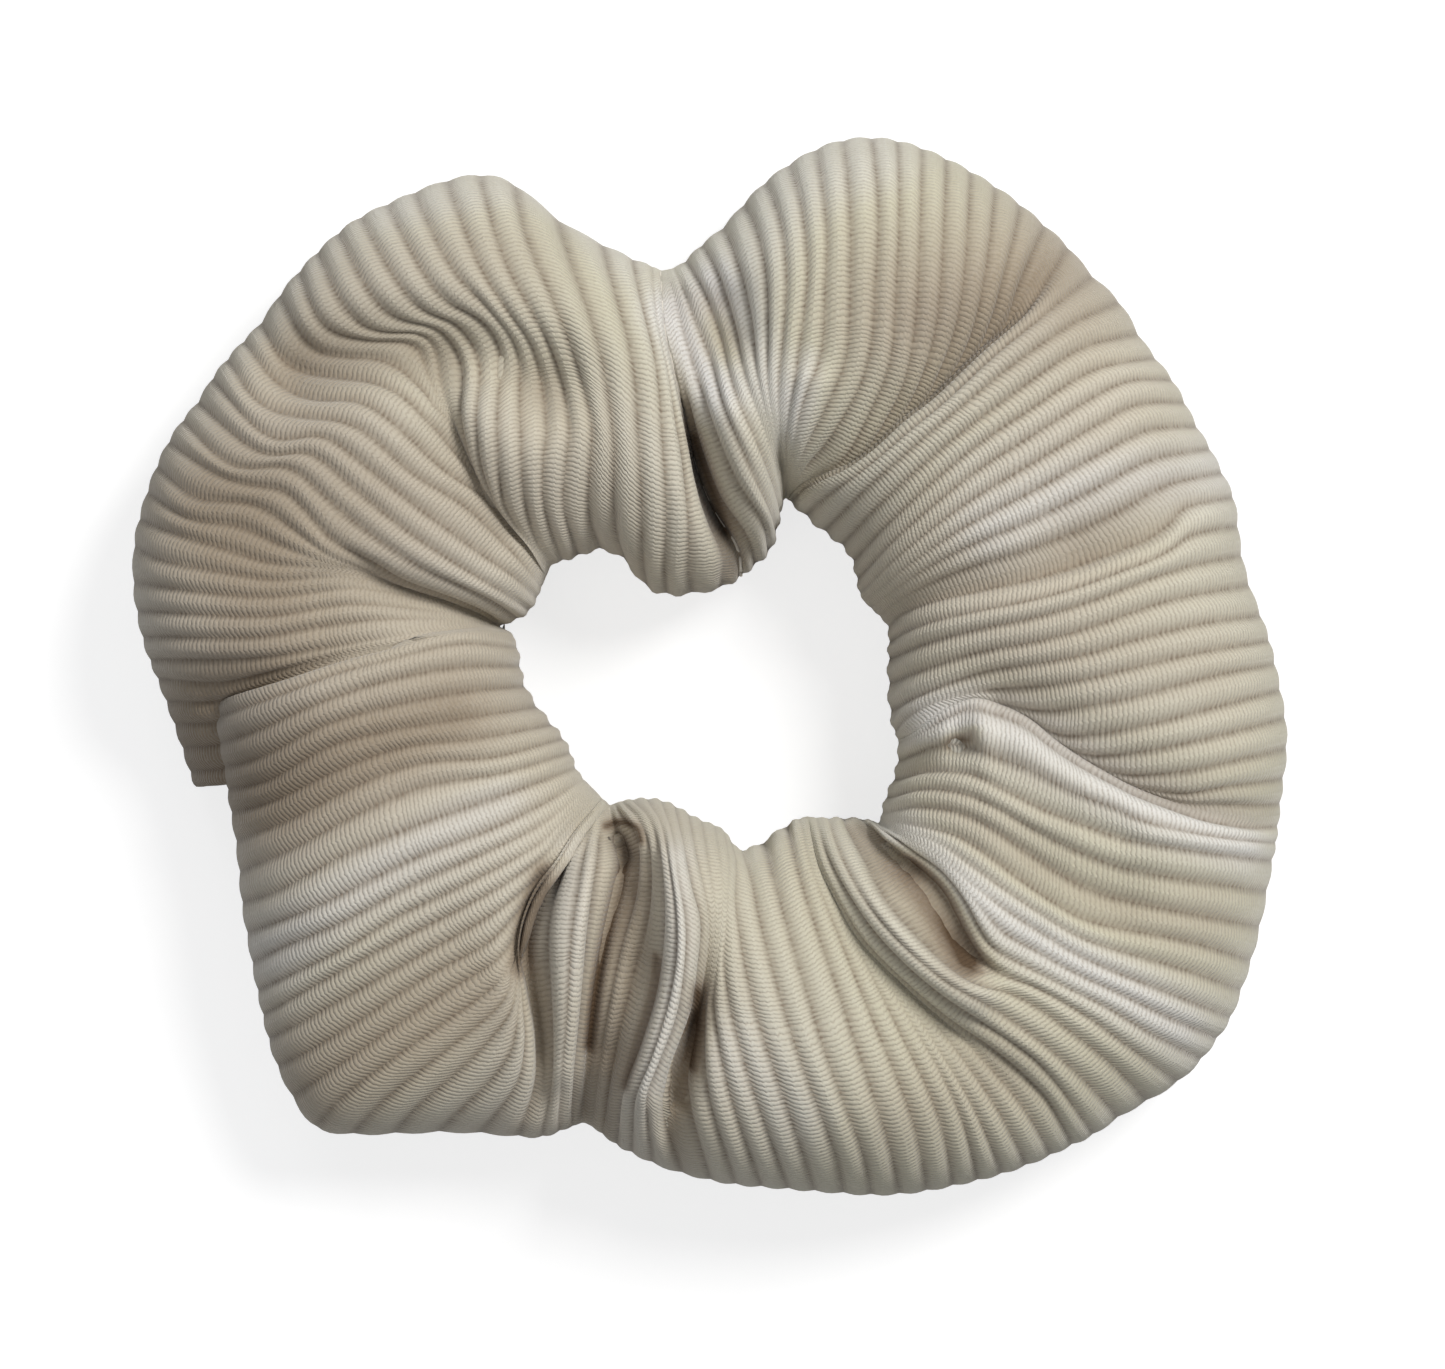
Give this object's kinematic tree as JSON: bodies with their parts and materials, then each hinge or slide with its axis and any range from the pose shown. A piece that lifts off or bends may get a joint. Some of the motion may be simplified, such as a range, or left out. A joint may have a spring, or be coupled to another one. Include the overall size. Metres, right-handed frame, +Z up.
{
  "type": "scrunchie",
  "caption": "Gathered ring of cream rib knit over a loose loop of braided elastic, for tying hair back.",
  "frame": {"origin": "on the surface the ring rests on, under the middle of its elastic loop, which is also the middle of its outline", "axes": "+Z up, along the hole and the axis of the elastic loop; +Y towards the notch where the tube's ends are closed; +X along the longest side"},
  "size_m": [0.1108, 0.1005, 0.0266],
  "materials": {
    "rib_knit": "cream cotton rib knit, matt, slightly fuzzy",
    "braid": "off-white polyester braid",
    "rubber": "natural rubber, matt",
    "sewing_thread": "cream spun polyester thread"
  },
  "bodies": {
    "casing": {"cover": "rib_knit", "long_seam_needle_thread": "sewing_thread", "long_seam_upper_looper_thread": "sewing_thread", "long_seam_lower_looper_thread": "sewing_thread", "closing_seam_needle_thread": "sewing_thread", "closing_seam_bobbin_thread": "sewing_thread"},
    "elastic": {"elastic_braid": "braid", "elastic_rubber_strands": "rubber", "elastic_join_needle_thread": "sewing_thread", "elastic_join_bobbin_thread": "sewing_thread"}
  },
  "joints": [
    {"name": "elastic_turn", "type": "hinge", "parent": "casing", "child": "elastic", "pos_m": [0, 0, 0.0048], "axis": [0, 0, 1], "continuous": true}
  ]
}
